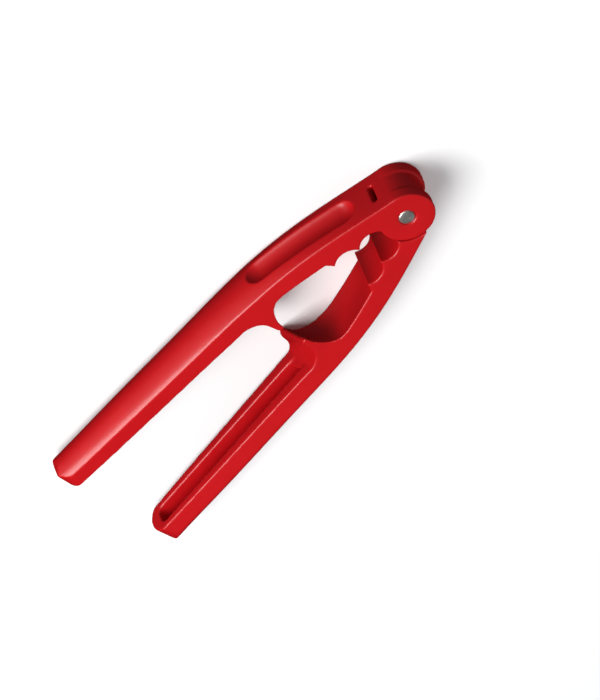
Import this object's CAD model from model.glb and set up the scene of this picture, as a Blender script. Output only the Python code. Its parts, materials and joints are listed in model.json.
import json
import math

import bpy
from mathutils import Matrix, Vector


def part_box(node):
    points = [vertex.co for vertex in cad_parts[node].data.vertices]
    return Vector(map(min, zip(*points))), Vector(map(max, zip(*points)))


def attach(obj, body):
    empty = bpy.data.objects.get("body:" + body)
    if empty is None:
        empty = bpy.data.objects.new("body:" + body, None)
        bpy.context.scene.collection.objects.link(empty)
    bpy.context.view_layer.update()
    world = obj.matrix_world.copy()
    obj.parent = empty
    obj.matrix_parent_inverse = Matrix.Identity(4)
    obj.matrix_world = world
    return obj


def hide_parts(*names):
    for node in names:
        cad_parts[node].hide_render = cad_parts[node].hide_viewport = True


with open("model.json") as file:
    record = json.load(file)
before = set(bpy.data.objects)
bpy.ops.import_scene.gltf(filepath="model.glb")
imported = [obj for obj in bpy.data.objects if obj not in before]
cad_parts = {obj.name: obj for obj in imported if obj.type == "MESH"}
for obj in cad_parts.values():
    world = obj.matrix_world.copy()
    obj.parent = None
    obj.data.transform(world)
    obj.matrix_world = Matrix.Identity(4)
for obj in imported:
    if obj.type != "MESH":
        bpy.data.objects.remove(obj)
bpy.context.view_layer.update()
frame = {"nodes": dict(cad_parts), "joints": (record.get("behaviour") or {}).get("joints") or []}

# Metres and degrees in the row frame: X runs from the hinge to the handle tips, Z is the pin's axis
# and the cracker lies on its side at Z = 0.
MM = 0.001
hinge = frame["joints"][0]
PIN_AT = Vector(hinge["pos_m"])
HALF_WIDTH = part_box("upper_lever")[1].z / 2
NEAR_PIN_END = PIN_AT + Vector((0, 0, HALF_WIDTH))

# ---- view: a long lens, rolled so that the hinge is at the upper right ----
VIEW_AZIMUTH = -30.7
VIEW_ELEVATION = 47.3
VIEW_ROLL = 202.6
FRAME_HEIGHT = 254.5 * MM  # what the long side of the image covers at the target
AIM_RIGHT = 39.1 * MM  # the target is left of the pin and below it
AIM_DOWN = 48.0 * MM
LENS = 1000.0
SENSOR = 36.0
CLIP = (0.05, 60.0)

azimuth, elevation = math.radians(VIEW_AZIMUTH), math.radians(VIEW_ELEVATION)
view_back = Vector(
    (
        math.sin(azimuth) * math.cos(elevation),
        -math.cos(azimuth) * math.cos(elevation),
        math.sin(elevation),
    )
)
level_right = Vector((math.cos(azimuth), math.sin(azimuth), 0))
level_up = view_back.cross(level_right)
roll = math.radians(VIEW_ROLL)
view_up = level_up * math.cos(roll) + level_right * math.sin(roll)
view_right = view_up.cross(view_back)


def in_view(right, up, back):
    """A row-frame direction from its parts along the view's axes."""
    return view_right * right + view_up * up + view_back * back


def looking(direction, up):
    """Rotation of a camera or lamp that faces along direction."""
    z = -direction.normalized()
    x = up.cross(z).normalized()
    return Matrix((x, z.cross(x), z)).transposed().to_4x4()


def link(obj):
    bpy.context.scene.collection.objects.link(obj)
    return obj


target = NEAR_PIN_END - view_right * AIM_RIGHT - view_up * AIM_DOWN
distance = FRAME_HEIGHT * LENS / SENSOR
camera_data = bpy.data.cameras.new("camera")
camera_data.lens = LENS
camera_data.sensor_width = SENSOR
camera_data.clip_start, camera_data.clip_end = CLIP
camera = link(bpy.data.objects.new("camera", camera_data))
camera.matrix_world = Matrix.Translation(target + view_back * distance) @ looking(-view_back, view_up)
bpy.context.scene.camera = camera
bpy.context.scene.view_settings.view_transform = "Standard"


# ---- materials ----
MIX_A, MIX_B, MIX_RESULT = 6, 7, 2  # the Mix node's colour sockets


class Nodes:
    """A material's node tree, built a node at a time."""

    def __init__(self, name):
        self.material = bpy.data.materials.new(name)
        self.material.use_nodes = True
        self.tree = self.material.node_tree
        self.shader = self.tree.nodes["Principled BSDF"]

    def add(self, kind, inputs=None, **settings):
        node = self.tree.nodes.new(kind)
        for key, value in settings.items():
            setattr(node, key, value)
        for key, value in (inputs or {}).items():
            self.set(node, key, value)
        return node

    def set(self, node, key, value):
        if isinstance(value, bpy.types.NodeSocket):
            self.tree.links.new(value, node.inputs[key])
        else:
            node.inputs[key].default_value = value

    def math(self, operation, first, second=None):
        inputs = {0: first}
        if second is not None:
            inputs[1] = second
        return self.add("ShaderNodeMath", inputs, operation=operation).outputs[0]

    def noise(self, vector, scale, detail=2.0, roughness=0.5):
        """Noise from 0 to 1, with scale cells to the metre."""
        inputs = {"Vector": vector, "Scale": scale, "Detail": detail, "Roughness": roughness}
        return self.add("ShaderNodeTexNoise", inputs).outputs["Fac"]

    def spread(self, value, low, high):
        """A 0 to 1 value taken to low to high."""
        inputs = {"Value": value, "To Min": low, "To Max": high}
        return self.add("ShaderNodeMapRange", inputs).outputs[0]

    def blend(self, share, low, high):
        """A colour that goes from low to high as share goes from 0 to 1."""
        tone = self.add("ShaderNodeMix", {"Factor": share}, data_type="RGBA")
        self.set(tone, MIX_A, low)
        self.set(tone, MIX_B, high)
        return tone.outputs[MIX_RESULT]

    def bump(self, height, strength, distance):
        """The shader's normal, moved by a 0 to 1 height of distance metres."""
        inputs = {"Height": height, "Strength": strength, "Distance": distance}
        self.set(self.shader, "Normal", self.add("ShaderNodeBump", inputs).outputs[0])

    def place(self):
        return self.add("ShaderNodeTexCoord").outputs["Object"]


LACQUER_RED = (0.47, 0.004, 0.007, 1)
LACQUER_DEEP = (0.375, 0.002, 0.004, 1)
LACQUER_GLOSS = (0.30, 0.40)  # roughness, at the least and the most
DEPTH_SCALE = 55.0
GLOSS_SCALE = 900.0
PEEL_SCALE = 650.0
GRAIN_SCALE = 3200.0
GRAIN_SHARE = 0.18
PEEL_HEIGHT = 0.04 * MM


def lacquer():
    """Red lacquer on cast aluminium: slight orange peel, slow changes in depth and gloss."""
    n = Nodes("red_lacquer_coat")
    place = n.place()
    depth = n.noise(place, DEPTH_SCALE, 3.0, 0.55)
    n.set(n.shader, "Base Color", n.blend(depth, LACQUER_DEEP, LACQUER_RED))
    gloss = n.noise(place, GLOSS_SCALE, 2.0, 0.6)
    n.set(n.shader, "Roughness", n.spread(gloss, *LACQUER_GLOSS))
    peel = n.noise(place, PEEL_SCALE)
    grain = n.noise(place, GRAIN_SCALE, 2.0, 0.6)
    height = n.math("ADD", peel, n.math("MULTIPLY", grain, GRAIN_SHARE))
    n.bump(height, 0.5, PEEL_HEIGHT)
    n.set(n.shader, "IOR", 1.48)
    n.set(n.shader, "Coat Weight", 0.1)
    n.set(n.shader, "Coat Roughness", 0.16)
    n.set(n.shader, "Coat IOR", 1.5)
    return n.material


STEEL = (0.86, 0.84, 0.80, 1)
STEEL_DARK = (0.55, 0.53, 0.50, 1)
STEEL_GLOSS = (0.42, 0.6)  # roughness, at the least and the most
BLOTCH_SCALE = 700.0
TURNING_PITCH = 0.16 * MM
TURNING_DEPTH = 0.02 * MM


def steel():
    """Turned steel: rings about the pin's axis on its ends, slightly blotched."""
    n = Nodes("pin_turned_steel")
    from_axis = n.add("ShaderNodeVectorMath", {0: n.place(), 1: PIN_AT}, operation="SUBTRACT")
    parts = n.add("ShaderNodeSeparateXYZ", {0: from_axis.outputs[0]})
    square = n.math(
        "ADD",
        n.math("POWER", parts.outputs[0], 2.0),
        n.math("POWER", parts.outputs[1], 2.0),
    )
    radius = n.math("SQRT", square)
    rings = n.math("SINE", n.math("MULTIPLY", radius, 2 * math.pi / TURNING_PITCH))
    blotch = n.noise(n.place(), BLOTCH_SCALE, 3.0, 0.6)
    n.set(n.shader, "Base Color", n.blend(n.spread(blotch, 0.1, 0.9), STEEL_DARK, STEEL))
    n.set(n.shader, "Metallic", 1.0)
    n.set(n.shader, "Roughness", n.spread(blotch, *STEEL_GLOSS))
    n.bump(rings, 0.35, TURNING_DEPTH)
    return n.material


FLOOR_WHITE = (0.86, 0.86, 0.86, 1)
TOOTH_SCALE = 900.0
TOOTH_HEIGHT = 0.05 * MM


def paper():
    """The floor: matt, off-white, with a faint tooth."""
    n = Nodes("floor_paper")
    n.bump(n.noise(n.place(), TOOTH_SCALE), 0.1, TOOTH_HEIGHT)
    n.set(n.shader, "Base Color", FLOOR_WHITE)
    n.set(n.shader, "Roughness", 0.9)
    n.set(n.shader, "Specular IOR Level", 0.1)
    return n.material


# ---- the levers: the castings' shapes, with every edge softened as lacquered casting edges are ----
VOXEL = 0.3 * MM
SOFTENING = 20  # rounds of smoothing
MAX_FACES = 190000  # triangles
WELD_DISTANCE = 1e-6


def settle(piece):
    """Apply a piece's modifiers to its mesh."""
    graph = bpy.context.evaluated_depsgraph_get()
    mesh = bpy.data.meshes.new_from_object(piece.evaluated_get(graph))
    piece.modifiers.clear()
    piece.data = mesh


def softened(name, node):
    """A copy of a CAD node's shape, with small radii on its edges."""
    piece = link(bpy.data.objects.new(name, frame["nodes"][node].data.copy()))
    weld = piece.modifiers.new("weld", "WELD")
    weld.merge_threshold = WELD_DISTANCE
    skin = piece.modifiers.new("skin", "REMESH")
    skin.mode = "VOXEL"
    skin.voxel_size = VOXEL
    soft = piece.modifiers.new("soft", "SMOOTH")
    soft.factor = 0.5
    soft.iterations = SOFTENING
    settle(piece)
    triangles = sum(len(face.vertices) - 2 for face in piece.data.polygons)
    if triangles > MAX_FACES:
        fewer = piece.modifiers.new("fewer", "DECIMATE")
        fewer.ratio = MAX_FACES / triangles
        settle(piece)
    piece.data.name = name
    piece.data.shade_smooth()
    return piece


lacquer_coat = lacquer()
for name, node, body in (
    ("clevis_lever", "upper_lever", "upper"),
    ("tongue_lever", "lower_lever", "lower"),
):
    lever = softened(name, node)
    lever.data.materials.clear()
    lever.data.materials.append(lacquer_coat)
    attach(lever, body)
    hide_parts(node)

pin = frame["nodes"]["hinge_pin"]
pin_steel = steel()
for material_slot in pin.material_slots:
    material_slot.material = pin_steel

# ---- floor and light ----
FLOOR_HALF = 3.0
floor_mesh = bpy.data.meshes.new("floor")
corners = [(x * FLOOR_HALF, y * FLOOR_HALF, 0) for x, y in ((-1, -1), (1, -1), (1, 1), (-1, 1))]
floor_mesh.from_pydata(corners, [], [(0, 1, 2, 3)])
floor_mesh.materials.append(paper())
floor = link(bpy.data.objects.new("floor", floor_mesh))
floor.visible_glossy = False  # the lacquer neither mirrors the white floor
floor.visible_diffuse = False  # nor takes light from it, and so stays deep red

# Name, place along the view's axes (right, up, back), size, watts, and whether it makes highlights
LAMPS = (
    ("key", (-0.30, -0.35, 0.50), 0.48, 6.9, True),
    ("fill", (-0.9, 0.0, 0.35), 0.8, 5.0, False),
    ("back", (0.85, -0.3, -0.05), 0.8, 4.2, False),  # for the sides that the view doesn't show
)
for name, place, size, watts, shines in LAMPS:
    lamp_data = bpy.data.lights.new(name, "AREA")
    lamp_data.shape = "SQUARE"
    lamp_data.size = size
    lamp_data.energy = watts
    lamp = link(bpy.data.objects.new(name, lamp_data))
    away = in_view(*place)
    lamp.matrix_world = Matrix.Translation(target + away) @ looking(-away, view_up)
    lamp.visible_glossy = shines

# The sky gives faint even light without highlights; the camera sees it pale.
SKY_LIGHT = (0.95, 0.97, 1.0, 1)
SKY_STRENGTH = 0.30
SKY_SEEN = (0.93, 0.93, 0.93, 1)
world = bpy.data.worlds.new("world")
world.use_nodes = True
bpy.context.scene.world = world
world.cycles_visibility.glossy = False
tree = world.node_tree
dim = tree.nodes["Background"]
dim.inputs["Color"].default_value = SKY_LIGHT
dim.inputs["Strength"].default_value = SKY_STRENGTH
pale = tree.nodes.new("ShaderNodeBackground")
pale.inputs["Color"].default_value = SKY_SEEN
seen = tree.nodes.new("ShaderNodeLightPath")
pick = tree.nodes.new("ShaderNodeMixShader")
tree.links.new(seen.outputs["Is Camera Ray"], pick.inputs[0])
tree.links.new(dim.outputs[0], pick.inputs[1])
tree.links.new(pale.outputs[0], pick.inputs[2])
tree.links.new(pick.outputs[0], tree.nodes["World Output"].inputs["Surface"])
